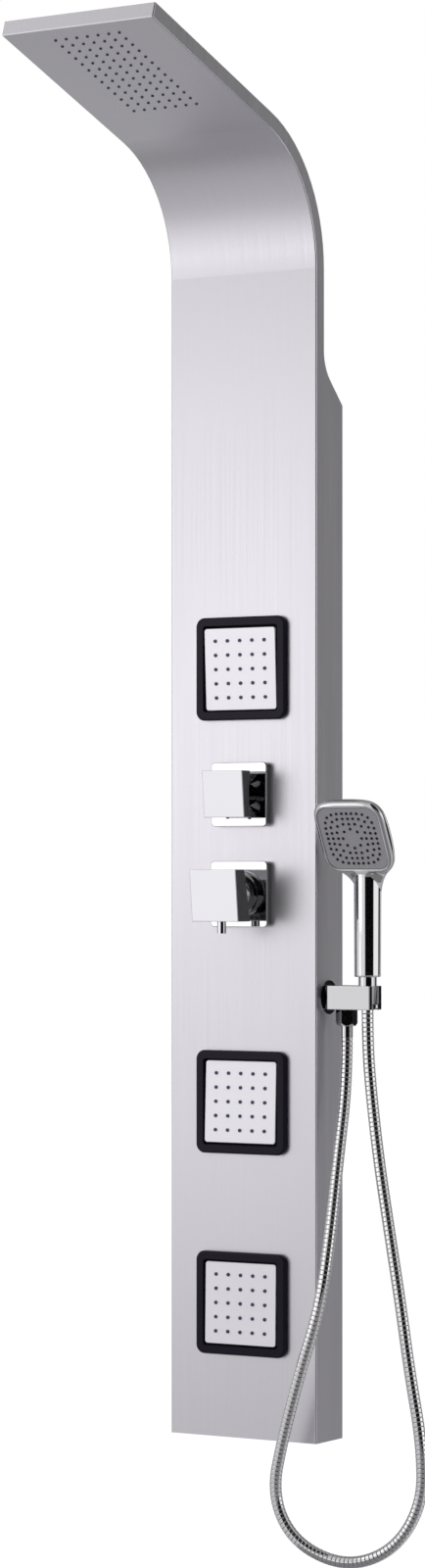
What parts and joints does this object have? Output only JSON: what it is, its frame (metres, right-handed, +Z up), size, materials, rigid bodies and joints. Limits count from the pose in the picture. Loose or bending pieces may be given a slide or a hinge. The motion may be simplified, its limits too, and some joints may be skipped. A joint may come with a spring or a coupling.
{
  "type": "shower panel column",
  "caption": "Wall-hung stainless shower column with a folded rain head, swivelling square body jets, diverter knob, lever mixer and a hand shower on a ribbed hose in a side cradle.",
  "frame": {"origin": "centre of the four wall screws, on the wall plane at the middle of the column's deep box", "axes": "+Z up, the front faces -Y and the wall is the plane Y = 0, +X to the right seen from the front"},
  "size_m": [0.3445, 0.4212, 1.7623],
  "materials": {
    "stainless": "brushed stainless steel, fine vertical grain",
    "plated_steel": "zinc-plated steel",
    "chrome": "mirror-polished chrome on brass",
    "hose_steel": "polished interlocked stainless rings",
    "chromed_plastic": "mirror chrome plating on plastic",
    "satin_grey": "satin grey plastic",
    "black_gloss": "glossy black",
    "black_plastic": "matt black plastic",
    "silver_face": "pale silver, satin",
    "dark_silicone": "dark silicone",
    "white_nylon": "white nylon",
    "brass": "machined brass",
    "grey_hose": "grey pressure hose",
    "black_steel": "blackened steel"
  },
  "bodies": {
    "root": {"front_shell": "stainless", "upper_back_cover": "stainless", "hanger_bars": "plated_steel", "wall_brackets": "plated_steel", "back_cover_screws": "plated_steel", "rain_box_screws": "plated_steel", "jet_bezel_screws": "plated_steel", "diverter_escutcheon": "chrome", "mixer_escutcheon": "chrome", "holder_flange": "chrome", "holder_block": "chrome", "hose_outlet_nut": "chrome", "hose_outlet_ferrule": "chrome", "shower_hose": "hose_steel", "jet_1_bezel": "black_gloss", "jet_2_bezel": "black_gloss", "jet_3_bezel": "black_gloss", "jet_1_housing": "black_plastic", "jet_2_housing": "black_plastic", "jet_3_housing": "black_plastic", "rain_water_box": "black_plastic", "rain_nozzle_mat": "dark_silicone", "escutcheon_gaskets": "dark_silicone", "mixer_cartridge": "white_nylon", "diverter_cartridge": "white_nylon", "mixer_valve_body": "brass", "diverter_valve_body": "brass", "inlet_nipples": "brass", "valve_link_pipe": "brass", "valve_lock_nuts": "brass", "jet_tees": "brass", "holder_inlet_elbow": "brass", "hose_outlet_nipple": "brass", "rain_supply_hose": "grey_hose", "jet_hoses": "grey_hose", "handset_supply_hose": "grey_hose"},
    "jet_1_swivel": {"jet_1_ball_liner": "white_nylon"},
    "jet_1_spray": {"jet_1_spray_body": "black_plastic", "jet_1_face_plate": "silver_face", "jet_1_nozzle_mat": "dark_silicone"},
    "jet_2_swivel": {"jet_2_ball_liner": "white_nylon"},
    "jet_2_spray": {"jet_2_spray_body": "black_plastic", "jet_2_face_plate": "silver_face", "jet_2_nozzle_mat": "dark_silicone"},
    "jet_3_swivel": {"jet_3_ball_liner": "white_nylon"},
    "jet_3_spray": {"jet_3_spray_body": "black_plastic", "jet_3_face_plate": "silver_face", "jet_3_nozzle_mat": "dark_silicone"},
    "diverter_knob": {"diverter_knob": "chrome", "diverter_stem": "chrome", "diverter_set_screw": "black_steel"},
    "mixer_dome": {"mixer_dome": "chrome"},
    "mixer_handle": {"mixer_handle": "chrome", "mixer_lever_pin": "chrome", "mixer_stem": "chrome"},
    "hose_end": {"hose_cone_nut": "chrome"},
    "hand_shower": {"handset_shell": "chromed_plastic", "handset_face_plate": "satin_grey", "handset_nozzle_mat": "black_plastic", "handset_end_fitting": "brass"}
  },
  "joints": [
    {"name": "jet_1_pan", "type": "hinge", "parent": "root", "child": "jet_1_swivel", "pos_m": [0, -0.052, 0.2995], "axis": [0, 0, 1], "range_deg": [-6, 6]},
    {"name": "jet_1_tilt", "type": "hinge", "parent": "jet_1_swivel", "child": "jet_1_spray", "pos_m": [0, -0.052, 0.2995], "axis": [1, 0, 0], "range_deg": [-8.5, 3.5]},
    {"name": "jet_2_pan", "type": "hinge", "parent": "root", "child": "jet_2_swivel", "pos_m": [0, -0.052, -0.213], "axis": [0, 0, 1], "range_deg": [-6, 6]},
    {"name": "jet_2_tilt", "type": "hinge", "parent": "jet_2_swivel", "child": "jet_2_spray", "pos_m": [0, -0.052, -0.213], "axis": [1, 0, 0], "range_deg": [-4, 8]},
    {"name": "jet_3_pan", "type": "hinge", "parent": "root", "child": "jet_3_swivel", "pos_m": [0, -0.052, -0.451], "axis": [0, 0, 1], "range_deg": [-6, 6]},
    {"name": "jet_3_tilt", "type": "hinge", "parent": "jet_3_swivel", "child": "jet_3_spray", "pos_m": [0, -0.052, -0.451], "axis": [1, 0, 0], "range_deg": [-5, 7]},
    {"name": "diverter_turn", "type": "hinge", "parent": "root", "child": "diverter_knob", "pos_m": [0, -0.085, 0.1505], "axis": [0, -1, 0], "continuous": true},
    {"name": "mixer_temperature", "type": "hinge", "parent": "root", "child": "mixer_dome", "pos_m": [0, -0.08, 0.033], "axis": [0, -1, 0], "range_deg": [-45, 45]},
    {"name": "mixer_flow", "type": "hinge", "parent": "mixer_dome", "child": "mixer_handle", "pos_m": [0, -0.08, 0.033], "axis": [-1, 0, 0], "range_deg": [0, 25]},
    {"name": "hand_shower_lift", "type": "slide", "parent": "root", "child": "hose_end", "axis": [0, 0, 1], "range_m": [0, 0.03]},
    {"name": "hand_shower_swivel", "type": "hinge", "parent": "hose_end", "child": "hand_shower", "pos_m": [0.1533, -0.0345, -0.0635], "axis": [0, 0, 1], "range_deg": [-5, 80]}
  ]
}
